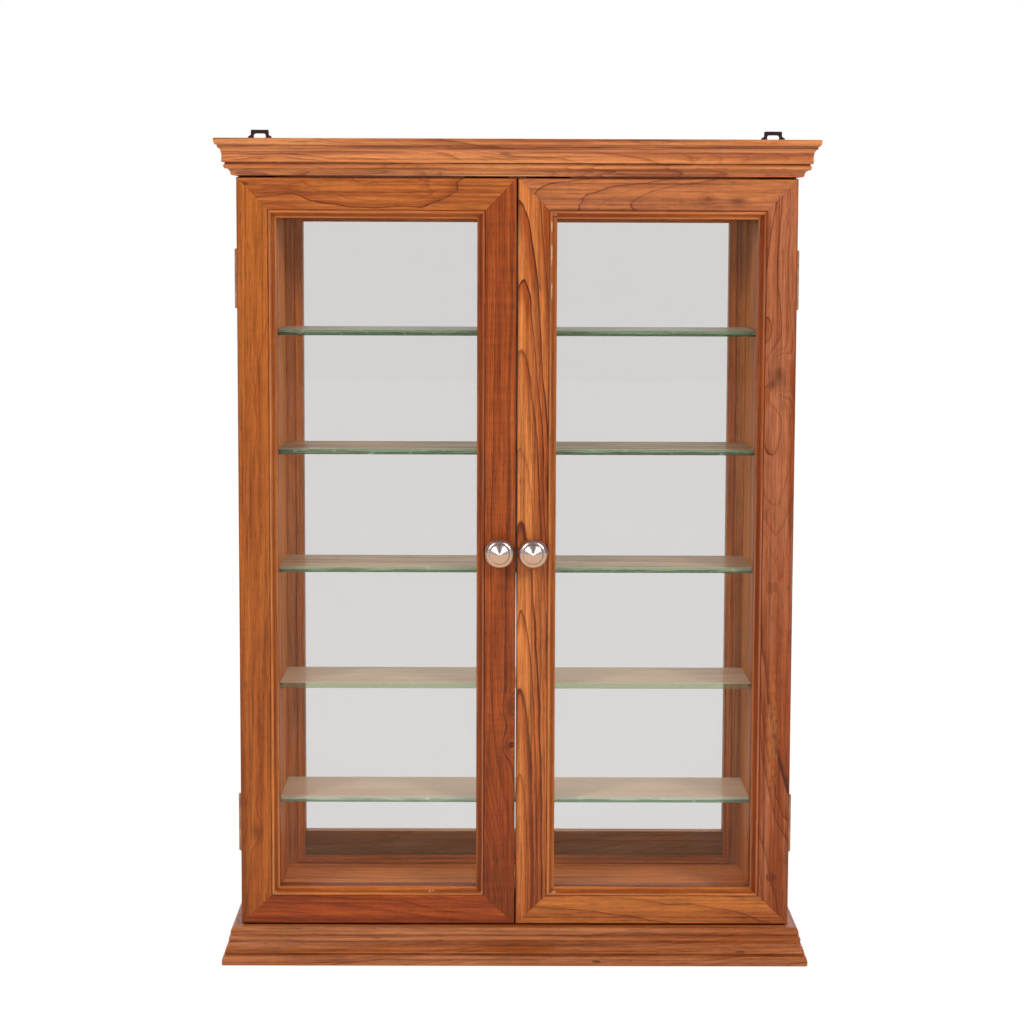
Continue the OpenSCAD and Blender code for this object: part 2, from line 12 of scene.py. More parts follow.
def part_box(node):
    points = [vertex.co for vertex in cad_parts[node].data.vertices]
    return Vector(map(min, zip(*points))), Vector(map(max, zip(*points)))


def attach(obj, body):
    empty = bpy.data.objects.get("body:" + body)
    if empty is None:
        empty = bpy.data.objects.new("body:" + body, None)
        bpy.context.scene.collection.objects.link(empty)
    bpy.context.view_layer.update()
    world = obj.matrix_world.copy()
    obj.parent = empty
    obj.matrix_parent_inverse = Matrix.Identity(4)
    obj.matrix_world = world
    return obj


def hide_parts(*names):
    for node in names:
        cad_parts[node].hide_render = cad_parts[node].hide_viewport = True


bl_info = {
    "name": "Glazed display cabinet",
    "version": (1, 0, 0),
    "blender": (4, 5, 0),
    "location": "View3D > Sidebar > Cabinet",
    "description": "Builds the timber, glass and metalwork of a two-door display cabinet",
    "category": "Object",
}

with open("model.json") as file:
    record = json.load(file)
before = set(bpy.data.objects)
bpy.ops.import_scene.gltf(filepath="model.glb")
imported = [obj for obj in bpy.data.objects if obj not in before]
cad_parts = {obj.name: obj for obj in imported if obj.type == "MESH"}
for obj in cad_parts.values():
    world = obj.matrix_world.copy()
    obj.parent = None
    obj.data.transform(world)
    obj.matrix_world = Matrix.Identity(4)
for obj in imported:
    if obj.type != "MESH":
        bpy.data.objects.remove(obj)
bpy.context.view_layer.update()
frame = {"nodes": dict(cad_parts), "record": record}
BODIES = frame["record"]["behaviour"]["bodies"]
BODY_OF = {node: body for body, nodes in BODIES.items() for node in nodes}
MM = 0.001
WHITE = (1.0, 1.0, 1.0, 1.0)


def srgb(red, green, blue):
    """A display colour, 0 to 255, as the linear colour that shaders use."""
    def linear(value):
        value /= 255
        return value / 12.92 if value <= 0.04045 else ((value + 0.055) / 1.055) ** 2.4
    return (linear(red), linear(green), linear(blue), 1.0)


# ---------- Settings ----------

def colour_setting(name, description, rgb):
    return FloatVectorProperty(name=name, description=description, subtype="COLOR", size=4,
                               min=0.0, max=1.0, default=srgb(*rgb))


def number_setting(name, description, default, least=0.0, **kind):
    return FloatProperty(name=name, description=description, default=default, min=least, **kind)


def length_setting(name, description, default, least=0.0):
    return number_setting(name, description, default, least, unit="LENGTH")


def share_setting(name, description, default):
    return number_setting(name, description, default, max=1.0, subtype="FACTOR")


def angle_setting(name, description, degrees):
    return FloatProperty(name=name, description=description, subtype="ANGLE",
                         default=math.radians(degrees))


class CabinetTimberSettings(bpy.types.PropertyGroup):
    """Tones and finish of the timber."""

    honey: colour_setting("Honey", "Palest tone between growth rings", (204, 126, 68))
    amber: colour_setting("Amber", "Common tone of the boards", (180, 98, 40))
    russet: colour_setting("Russet", "Redder, darker tone of the boards", (150, 71, 26))
    chestnut: colour_setting("Chestnut", "Deep red-brown of the darkest boards", (117, 49, 16))
    umber: colour_setting("Umber", "Dark lines of the late growth", (78, 32, 16))
    rosy: colour_setting("Rosy", "Pinkish tone of the right-hand stile", (178, 106, 68))
    # also the tone of painted highlights on the bead ridges and the back rail's top face
    filler: colour_setting("Filler", "Pale filler in the bead corners", (226, 200, 172))
    arris: length_setting("Arris", "Rounding of the doors' outer edges", 1.0 * MM)
    ease: length_setting("Eased edge", "Rounding of the other long edges", 0.35 * MM)
    joint_line: length_setting("Joint line", "Rounding at the mitres", 0.15 * MM)
    gap_closed: length_setting("Gap closed above", "Height above which the doors meet", 0.385, 0.1)
    lacquer: share_setting("Lacquer", "Weight of the clear coat", 0.12)
    lacquer_rough: share_setting("Lacquer roughness", "Roughness of the clear coat", 0.22)


class CabinetGlassSettings(bpy.types.PropertyGroup):
    """Panes and shelves. A tint is the light that one face lets through."""

    door_tint: colour_setting("Door pane", "Tint of a door pane", (249, 249, 249))
    back_tint: colour_setting("Back pane", "Tint of the back pane", (238, 238, 238))
    shelf_tint: colour_setting("Shelf", "Tint of a shelf", (244, 247, 245))
    edge_clear: colour_setting("Back edge", "Tint of a shelf's back edge", (206, 226, 212))
    haze: share_setting("Haze", "Share of a door pane that a pale film covers", 0.022)
    facing_gloss: share_setting("Facing gloss", "Reflection of a face seen square on", 0.004)


class CabinetMetalSettings(bpy.types.PropertyGroup):
    """Knobs, hinges and hangers."""

    steel: colour_setting("Steel", "Turned steel of the knobs", (216, 194, 188))
    # painted reflection of the warm floor and wood on the knobs' lower half
    steel_low: colour_setting("Lower steel", "Lower half of the knobs", (204, 162, 130))
    brass: colour_setting("Brass", "Worn metal of the hinges", (192, 142, 108))
    iron: colour_setting("Iron", "Dark iron of the hangers", (70, 48, 42))
    turning: length_setting("Turning marks", "Distance between marks on the knobs", 0.35 * MM)


class CabinetStudioSettings(bpy.types.PropertyGroup):
    """Camera, lamps and floor."""

    eye: FloatVectorProperty(name="Camera", description="Place of the camera", size=3,
                             subtype="TRANSLATION", unit="LENGTH",
                             default=(-0.0187, -2.4620, 0.6841))
    pitch: angle_setting("Pitch", "Camera's angle below the level", 6.258)
    yaw: angle_setting("Yaw", "Camera's turn to the right", 0.352)
    roll: angle_setting("Roll", "Camera's roll", 0.203)
    lens: FloatProperty(name="Lens", description="Focal length", unit="CAMERA", default=92.9)
    ambient: number_setting("Ambient", "Light from all round", 0.42)
    behind: number_setting("Light from behind", "Light from the white backdrop", 1.15)
    room: number_setting("Room", "Brightness in gloss of the room behind the camera", 0.16)
    lamp_power: number_setting("Lamps", "Power of each soft lamp", 37.0, unit="POWER")


# ---------- Shader expressions ----------

class Wire:
    """A shader socket that takes part in Python arithmetic."""

    def __init__(self, graph, socket):
        self.graph = graph
        self.socket = socket

    def __add__(self, other):
        return self.graph.math("ADD", self, other)

    def __radd__(self, other):
        return self.graph.math("ADD", other, self)

    def __sub__(self, other):
        return self.graph.math("SUBTRACT", self, other)

    def __rsub__(self, other):
        return self.graph.math("SUBTRACT", other, self)

    def __mul__(self, other):
        return self.graph.math("MULTIPLY", self, other)

    def __rmul__(self, other):
        return self.graph.math("MULTIPLY", other, self)

    def __truediv__(self, other):
        return self.graph.math("DIVIDE", self, other)

    def __pow__(self, other):
        return self.graph.math("POWER", self, other)

    def __neg__(self):
        return self.graph.math("MULTIPLY", self, -1.0)


class Graph:
    """A node tree that is built from expressions on its wires."""

    def __init__(self, owner):
        owner.use_nodes = True
        self.owner = owner
        self.tree = owner.node_tree
        self.tree.nodes.clear()

    def node(self, kind, sockets=None, settings=None, out=0):
        """Adds a node with its settings and the values or wires of its sockets."""
        made = self.tree.nodes.new(kind)
        for key, value in (settings or {}).items():
            setattr(made, key, value)
        for key, value in (sockets or {}).items():
            if isinstance(value, Wire):
                self.tree.links.new(value.socket, made.inputs[key])
            else:
                made.inputs[key].default_value = value
        return Wire(self, made.outputs[out]) if made.outputs else made

    def math(self, operation, first, second=0.0):
        return self.node("ShaderNodeMath", {0: first, 1: second}, {"operation": operation})

    def split(self, vector):
        return [self.node("ShaderNodeSeparateXYZ", {0: vector}, out=out) for out in range(3)]

    def vector(self, x, y, z):
        return self.node("ShaderNodeCombineXYZ", {0: x, 1: y, 2: z})

    def spot(self):
        """The point on the object, in metres from its origin."""
        return self.node("ShaderNodeTexCoord", out="Object")

    def facing(self):
        """0 where a face is seen square on, 1 where it is seen edge on."""
        return self.node("ShaderNodeLayerWeight", {"Blend": 0.5}, out="Facing")

    def smooth(self, value, low, high):
        """0 below low, 1 above high, with a soft step between."""
        return self.node("ShaderNodeMapRange", {0: value, 1: low, 2: high},
                         {"interpolation_type": "SMOOTHSTEP"})

    def spread(self, noise, low=0.32, high=0.68):
        """A noise, whose values crowd round 0.5, spread over the range from 0 to 1."""
        return self.smooth(noise, low, high)

    def blend(self, share, first, second, how="MIX"):
        return self.node("ShaderNodeMix", {0: share, 6: first, 7: second},
                         {"data_type": "RGBA", "blend_type": how}, 2)

    def noise(self, vector, detail=2.0, rough=0.5, scale=1.0):
        return self.node("ShaderNodeTexNoise", {
            "Vector": vector, "Scale": scale, "Detail": detail, "Roughness": rough})

    def noise_along(self, value, detail=2.0):
        return self.node("ShaderNodeTexNoise", {"W": value, "Scale": 1.0, "Detail": detail},
                         {"noise_dimensions": "1D"})

    def see_through(self, tint):
        return self.node("ShaderNodeBsdfTransparent", {"Color": tint})

    def mirror(self, rough):
        return self.node("ShaderNodeBsdfGlossy", {"Color": WHITE, "Roughness": rough})

    def diffuse(self, colour):
        return self.node("ShaderNodeBsdfDiffuse", {"Color": colour})

    def principled(self, sockets):
        return self.node("ShaderNodeBsdfPrincipled", sockets)

    def bump(self, height, strength, distance):
        return self.node("ShaderNodeBump", {
            "Height": height, "Strength": strength, "Distance": distance})

    def mixed(self, share, first, second):
        """Two surfaces, with the given share of the second."""
        return self.node("ShaderNodeMixShader", {0: share, 1: first, 2: second})

    def output(self, surface, kind="ShaderNodeOutputMaterial"):
        self.node(kind, {"Surface": surface})
        return self.owner


def new_graph(name):
    return Graph(bpy.data.materials.new(name))


# ---------- Timber ----------

# The noises that a board is made of: cycles to the metre along the grain and across it, shift of
# the seed, detail and roughness.
GRAINS = {
    "bend": (5, 14, 0, 2.5, 0.5),  # long bends of the growth rings across the board
    "sway": (4, 11, 9.1, 2.5, 0.5),  # long bends into the board
    "wave": (26, 55, 4.9, 2, 0.5),  # short waves of the rings
    "jag": (38, 120, 1.7, 3, 0.5),  # unevenness of a line's sides
    "clear": (9, 40, 6.1, 2, 0.5),  # where the lines stand out
    "cloud": (6, 22, 3.3, 3, 0.5),  # broad changes of tone
    "streak": (3, 120, 5.1, 3, 0.6),  # long streaks of tone
    "thread": (4, 330, 8.2, 2, 0.5),  # thin dark threads
    "fine": (9, 380, 6.6, 2, 0.5),  # fine streaks of light
    "fibre": (45, 1100, 7.7, 2, 0.5),
    "fleck": (30, 300, 1.3, 3, 0.65),
    "pore": (80, 1700, 2.2, 1, 0.5),
    "ripple": (260, 26, 4.4, 1, 0.5),  # across the grain
    "blot": (160, 300, 0, 3, 0.5),  # ragged outline of a mark
    "wear_and_painted_light": (14, 60, 2.9, 3, 0.5),  # where a band comes out weaker; the bands are mostly painted shade and highlights
}
SEED_STEP = 3.7  # keeps the noises of one board apart from those of the next
RING_CHANGE, RING_UNEVEN = 0.31, 3.0  # how often the rings' spacing changes, and by how many rings
RING_END = 0.90  # where in a ring's width its dark line ends
LEAST_STEEP = 0.012  # limits a line's width where a ring runs level with the face
KNOT_LENGTH = 1.7  # length of the bulge at a knot over its width
HEART_SHARP, HEART_DARK = 4.0, 0.55  # size and weight of the dark heart of a knot
CRISP_MARK = 12  # marks smaller than this, in millimetres, have a crisp outline
FINE_SHADE, FIBRE_SHADE, FLECK_SHADE, PORE_SHADE = 0.30, 0.85, 0.16, 0.34
RELIEF = 0.0002  # depth of the pores and fibres, in metres


class Board:
    """How one board was cut from the log, and the tones it shows, with lengths in millimetres.

    Knots are (along, across, size, swell), from the board's centre. Marks are (x, z, half width,
    half height, tone, weight). Bands are (line, place, half width, tone, weight), where the line
    runs at a place in x, y or z, or at a distance across from the centre.
    """

    pith = (60, 120)  # where the middle of the log lies, across and into the board
    lean = (0.0, 0.0)  # how far the pith drifts for each millimetre along
    ring = 4.0  # spacing of the growth rings
    line = 0.5  # width of a ring's dark line
    wander = 14.0  # reach of the rings' long bends
    wavy = 1.0  # reach of their short waves
    ragged = 0.6  # unevenness of a line's sides
    figure = 0.6  # strength of the lines
    tones = ("amber", "russet")  # the paler and the darker tone between the lines
    streaks = 0.6  # weight of long streaks in the share of the darker tone
    threads = 0.4  # strength of thin dark threads
    ripple = 0.14  # strength of the ripple across the grain
    fade = 0.0  # painted light: change of the darker tone's share for each metre along, paler where more light falls
    stain = (1.0, 1.0, 1.0)  # red, green and blue light that the finish gives back
    sheen = 1.0  # strength of the gloss
    seed = 0.0
    knots = marks = bands = ()

    def __init__(self, axes, **cut):
        """axes names the directions along the grain, across the face and into the board."""
        self.axes = axes
        for name, value in cut.items():
            setattr(self, name, value)


def oval(first, half, second, other_half):
    """0 in the middle of an oval, 1 on its outline and more outside."""
    return (first / (half * MM)) ** 2.0 + (second / (other_half * MM)) ** 2.0


def ring_lines(g, board, grain, along, across, into):
    """The dark lines that end the growth rings, the glow beside them and the hearts of knots."""
    seed = board.seed * SEED_STEP

    def shift(kind, reach):
        """A noise as a shift of so many millimetres either way."""
        return (grain(kind) - 0.5) * (reach * 2 * MM)

    bend = shift("bend", board.wander) + shift("wave", board.wavy)
    aside = across - board.pith[0] * MM - along * board.lean[0] + bend
    deep = into - board.pith[1] * MM - along * board.lean[1] + shift("sway", board.wander)
    radius = g.math("SQRT", aside * aside + deep * deep + 1e-7)
    steep_across = aside / radius
    steep_along = (aside * board.lean[0] + deep * board.lean[1]) / radius
    steep = steep_across * steep_across + steep_along * steep_along
    steep = g.math("SQRT", steep + LEAST_STEEP)
    radius = radius + shift("jag", board.ragged)
    hearts = 0.0
    for at, off, size, swell in board.knots:
        reach = oval(along - at * MM, size * KNOT_LENGTH, across - off * MM, size)
        radius = radius + g.math("EXPONENT", -reach) * (swell * MM)
        hearts = hearts + g.math("EXPONENT", reach * -HEART_SHARP)

    count = radius / (board.ring * MM)
    count = count + g.noise_along(count * RING_CHANGE + seed) * RING_UNEVEN
    pick = g.node("ShaderNodeTexWhiteNoise", {"W": g.math("FLOOR", count) + seed},
                  {"noise_dimensions": "1D"})
    past = (g.math("FRACT", count) - RING_END) * board.ring / steep  # millimetres past the line
    width = pick * (board.line * 1.2) + board.line * 0.6
    clear = g.spread(grain("clear"), 0.25, 0.6) * 0.5 + 0.5
    strength = (pick * 0.7 + 0.3) * clear * board.figure
    line = g.smooth(past / width, -1.0, -0.1) * (1.0 - g.smooth(past, 0.0, 0.45)) * strength
    glow = g.smooth(past / width, -7.0, -0.3) * (1.0 - g.smooth(past, 0.0, 0.6)) * strength
    return line, glow, hearts


def timber(name, board, centre):
    """Growth rings round the board's pith, cut by its faces, with fibres, marks and patchy painted
    light.
    """
    tones = bpy.context.scene.cabinet_timber
    g = new_graph(name)
    place = dict(zip("xyz", g.split(g.spot())))
    along, across, into = [place[a] - centre["xyz".index(a)] for a in board.axes]

    def grain(kind, shift=0.0):
        """One of the noises, laid along the board's grain."""
        lengthways, crossways, own_shift, detail, rough = GRAINS[kind]
        seed = board.seed * SEED_STEP + own_shift + shift
        spot = g.vector(along * lengthways + seed, across * crossways, into * crossways + seed)
        return g.noise(spot, detail, rough)

    line, glow, hearts = ring_lines(g, board, grain, along, across, into)
    cloud, streak, fine, fleck = [g.spread(grain(k)) for k in ("cloud", "streak", "fine", "fleck")]
    thread = g.smooth(grain("thread"), 0.54, 0.68)
    pore = g.smooth(grain("pore"), 0.60, 0.70)
    fibre = grain("fibre")

    paler, darker = [getattr(tones, tone) for tone in board.tones]
    share = cloud * 0.5 + streak * board.streaks + glow * 0.75 - 0.10 - board.streaks * 0.25
    # Painted light: the board grows paler or darker along its length
    if board.fade:
        share = share + along * board.fade
    colour = g.blend(share, paler, darker)
    colour = g.blend(thread * board.threads, colour, tones.umber)
    colour = g.blend(line, colour, tones.umber)
    if board.knots:
        colour = g.blend(hearts * HEART_DARK, colour, tones.umber)
    for x, z, wide, high, tone, weight in board.marks:
        reach = oval(place["x"] - x * MM, wide, place["z"] - z * MM, high)
        reach = reach + (grain("blot", x) - 0.5) * 2.4
        fades_from = 0.55 if max(wide, high) < CRISP_MARK else -0.4
        inside = 1.0 - g.smooth(reach, fades_from, 1.05)
        colour = g.blend(inside * weight, colour, getattr(tones, tone))

    shade = (fine - 0.5) * FINE_SHADE + (fibre - 0.5) * FIBRE_SHADE + (fleck - 0.5) * FLECK_SHADE
    shade = shade + 1.0 - pore * PORE_SHADE
    if board.ripple:
        shade = shade + (grain("ripple") - 0.5) * board.ripple
    colour = g.blend(1.0, colour, g.vector(*[shade * part for part in board.stain]), "MULTIPLY")
    if board.bands:
        wear_and_painted_light = g.spread(grain("wear_and_painted_light"), 0.30, 0.62) * 0.8 + 0.2
        from_line = {"x": g.math("ABSOLUTE", place["x"]), "y": place["y"], "z": place["z"],
                     "across": g.math("ABSOLUTE", across)}
    # Bands paint shade in quirks and under the top, and highlights along rounds and edges
    for way, at, half, tone, weight in board.bands:
        off = g.math("ABSOLUTE", from_line[way] - at * MM) / (half * MM)
        inside = (1.0 - g.smooth(off, 0.4, 1.4)) * weight
        colour = g.blend(inside * wear_and_painted_light, colour, getattr(tones, tone))

    height = (fibre - 0.5) * 0.5 - pore * 0.8 - line * 0.4
    surface = g.principled({
        "Base Color": colour, "Roughness": 0.42 + (fibre - 0.5) * 0.2 + pore * 0.2,
        "Normal": g.bump(height, 0.25, RELIEF), "Coat Weight": tones.lacquer * board.sheen,
        "Coat Roughness": tones.lacquer_rough, "Specular IOR Level": 0.16 * board.sheen})
    return g.output(surface)


# ---------- Glass and metal ----------

SCHLICK = 5.0  # the power with which a reflection grows as a face turns edge on
SHEET = 5.0 * MM  # thickness of the shelf glass
KNOB_GROOVE = 8.9 * MM  # radius of the groove round a knob's face


def clear_glass(name, tint, gloss, haze=0.0):
    """A clear face: what it lets through is tinted, and it reflects more as it is seen aslant."""
    g = new_graph(name)
    share = g.facing() ** SCHLICK * (1.0 - gloss) + gloss
    surface = g.mixed(share, g.see_through(tint), g.mirror(0.02))
    if haze:
        smear = g.smooth(g.noise(g.spot(), detail=4.0, rough=0.6, scale=9.0), 0.35, 0.75)
        surface = g.mixed((smear * 0.6 + 0.7) * haze, surface, g.diffuse(srgb(222, 184, 152)))
    return g.output(surface)


def edge_glass(name, pale, deep, clear, foot):
    """A polished edge, where the light that has run through the sheet comes out green."""
    g = new_graph(name)
    x, y, z = g.split(g.spot())
    runs = g.noise(g.vector(x * 22.0, y * 30.0, z * 500.0), detail=3.0)
    chips = g.smooth(g.noise(g.vector(x * 140.0, y * 140.0, z * 300.0), detail=3.0), 0.60, 0.74)
    rise = (z - foot) / SHEET + (runs - 0.5) * 1.6
    colour = g.blend(g.smooth(rise, 0.35, 0.75), deep, pale)
    colour = g.blend(chips * 0.3, colour, srgb(226, 234, 226))
    surface = g.principled({"Base Color": colour, "Roughness": 0.12 + chips * 0.4, "IOR": 1.5})
    through = g.see_through(srgb(226, 238, 200))
    return g.output(g.mixed(chips * -0.3 + clear, surface, through))


def dusty_top(name, tint, gloss, front):
    """A shelf's upper face: clear from above, veiled by a painted reflection with dusty smears
    when seen aslant.
    """
    g = new_graph(name)
    x, y, z = g.split(g.spot())
    facing = g.facing()
    smear = g.noise(g.vector(x * 9.0, y * 70.0, z * 40.0), detail=4.0, rough=0.6)
    drift = g.noise(g.vector(x * 5.0, y * 14.0, z * 40.0), detail=2.0)
    # Painted reflection: the film's colour and weight follow how aslant the face is seen
    aslant = g.smooth(facing, 0.80, 0.93)
    film = g.blend(aslant, srgb(240, 212, 180), srgb(202, 166, 122))
    film = g.blend(g.smooth(smear, 0.35, 0.65) * (aslant * 0.7 + 0.08), film, srgb(112, 88, 62))
    film = g.blend(g.smooth(drift, 0.5, 0.75) * 0.3, film, srgb(196, 140, 104))
    # painted reflection, paler where the face is seen almost edge on
    film = g.blend(g.smooth(facing, 0.93, 0.96), film, srgb(204, 204, 188))
    # painted highlight along the front arris
    front_arris_highlight = g.smooth(y, front + 6 * MM, front + 3 * MM)
    film = g.blend(front_arris_highlight * 0.7, film, srgb(236, 232, 214))
    veil = g.principled({"Base Color": film, "Roughness": 0.5, "Specular IOR Level": 0.1})
    clear = g.mixed(facing ** SCHLICK * 0.15 + gloss, g.see_through(tint), g.mirror(0.03))
    return g.output(g.mixed(g.smooth(facing, 0.45, 0.78) * 0.86, clear, veil))


def turned_steel(name, hub):
    """Steel with fine lathe rings round the hub, a painted reflection below and painted shade in
    the groove.
    """
    metal = bpy.context.scene.cabinet_metal
    g = new_graph(name)
    x, y, z = g.split(g.spot())
    aside, up = x - hub[0], z - hub[2]
    radius = g.math("SQRT", aside * aside + up * up)
    rings = g.noise_along(radius / metal.turning + y / metal.turning)
    wear_and_painted_light = g.noise(g.vector(x, y, z), detail=4.0, scale=260.0)
    colour = g.blend((rings - 0.5) * 0.5 + 0.25, metal.steel, srgb(186, 170, 162))
    # painted reflection: the lower half takes the peach tone
    colour = g.blend(g.smooth(up, 0.6 * MM, -1.0 * MM) * 0.9, colour, metal.steel_low)
    # painted shade in the groove round the face, darkest towards the lower right
    from_groove = g.math("ABSOLUTE", radius - KNOB_GROOVE)
    groove = 1.0 - g.smooth(from_groove, 0.15 * MM, 0.55 * MM)
    shadow = g.smooth(aside - up, -4 * MM, 8 * MM) * 0.75 + 0.1
    colour = g.blend(groove * shadow, colour, srgb(96, 66, 56))
    surface = g.principled({
        "Base Color": colour, "Metallic": 1.0, "Normal": g.bump(rings, 0.35, 0.06 * MM),
        "Roughness": 0.25 + rings * 0.12 + (wear_and_painted_light - 0.5) * 0.1})
    return g.output(surface)


def dull_metal(name, tone, dark, metallic, rough, patches):
    """Old metal with a mottled surface, darker where it is stained."""
    g = new_graph(name)
    place = g.spot()
    mottle = g.noise(place, detail=5.0, rough=0.6, scale=patches)
    grit = g.noise(place, detail=3.0, scale=patches * 12)
    surface = g.principled({
        "Base Color": g.blend(g.smooth(mottle, 0.35, 0.7), tone, dark), "Metallic": metallic,
        "Roughness": rough + (grit - 0.5) * 0.25, "Normal": g.bump(grit, 0.3, 0.08 * MM)})
    return g.output(surface)


# ---------- Modelling ----------

CREASE = math.radians(20)  # faces that meet at less than this are shaded as one
NEAR = 0.01 * MM  # points closer than this are taken as one place
EXACT = 0.001 * MM
PANE_EASE, SHELF_EASE, METAL_EASE = 0.4 * MM, 0.5 * MM, 0.15 * MM  # rounding of their edges


def new_object(name, data):
    """An object in the scene."""
    made = bpy.data.objects.new(name, data)
    bpy.context.scene.collection.objects.link(made)
    return made


def finish(bm, name, node, materials, slot):
    """Turns a bmesh into a piece that rides on its node's body and stands for that node."""
    bmesh.ops.recalc_face_normals(bm, faces=bm.faces)
    for face in bm.faces:
        face.smooth = True
    for edge in bm.edges:
        edge.smooth = edge.is_manifold and edge.calc_face_angle(math.pi) < CREASE
    mesh = bpy.data.meshes.new(name)
    bm.to_mesh(mesh)
    bm.free()
    piece = new_object(name, mesh)
    for material in materials:
        mesh.materials.append(material)
    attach(piece, BODY_OF[node])
    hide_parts(node)
    return piece


def merged_copy(node):
    """A node's mesh with its triangles joined into whole faces."""
    bm = bmesh.new()
    bm.from_mesh(frame["nodes"][node].data)
    bmesh.ops.remove_doubles(bm, verts=bm.verts, dist=2 * EXACT)
    bmesh.ops.dissolve_limit(bm, angle_limit=math.radians(0.5), verts=bm.verts, edges=bm.edges,
                             use_dissolve_boundaries=False)
    for face in bm.faces:
        face.material_index = 0
    return bm


def ease_edges(bm, width, chosen, segments=2, least=8 * MM, sharpest=math.radians(30)):
    """Rounds the long, sharp, outward edges that chosen(edge) picks."""
    edges = [e for e in bm.edges if e.is_manifold and e.is_convex and e.calc_length() > least
             and e.calc_face_angle() > sharpest and chosen(e)]
    if edges and width > 0:
        bmesh.ops.bevel(bm, geom=edges, offset=width, offset_type="OFFSET", segments=segments,
                        profile=0.5, affect="EDGES", clamp_overlap=True, material=-1)


def level_or_upright(edge):
    """True for an edge that runs along X, Y or Z."""
    run = (edge.verts[0].co - edge.verts[1].co).normalized()
    return max(abs(run.x), abs(run.y), abs(run.z)) > 0.9999


def islands(bm):
    """The separate solids in a mesh, as lists of faces."""
    left = set(bm.faces)
    while left:
        found, queue = [], [left.pop()]
        while queue:
            face = queue.pop()
            found.append(face)
            for edge in face.edges:
                for other in edge.link_faces:
                    if other in left:
                        left.remove(other)
                        queue.append(other)
        yield found


def lathe(profile, hub, steps=96):
    """Spins a list of (radius, distance) points about the Y axis through the hub."""
    bm = bmesh.new()
    verts = [bm.verts.new((hub[0] + r, hub[1] - d, hub[2])) for r, d in profile]
    edges = [bm.edges.new(pair) for pair in zip(verts, verts[1:])]
    bmesh.ops.spin(bm, geom=verts + edges, cent=hub, axis=(0, 1, 0), angle=math.tau, steps=steps,
                   use_merge=True, use_duplicate=False)
    bmesh.ops.remove_doubles(bm, verts=bm.verts, dist=EXACT)
    return bm


def arc(cx, cy, rx, ry, start, end, steps):
    """Points on part of an ellipse, between two angles in degrees."""
    angles = [math.radians(start + (end - start) * i / steps) for i in range(steps + 1)]
    return [(cx + rx * math.cos(a), cy + ry * math.sin(a)) for a in angles]


def centre_of(node):
    low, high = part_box(node)
    return (low + high) / 2


# ---------- The boards ----------

# Where painted shade runs along the doors' outlines, in millimetres.
EDGE = 253.7
MEET = 0.7
DOOR_TOP = 723.8
DOOR_FOOT = 35.8
# Paler and darker tones that boards share.
TEAK, RED_TEAK = ("honey", "russet"), ("russet", "chestnut")
ROSY_TEAK, PALE_TEAK = ("rosy", "russet"), ("honey", "amber")


def outline(line, place):
    """Painted shade that sits along a door's outline, where its edge rounds off into the gap."""
    return ((line, place, 1.1, "chestnut", 0.75),)


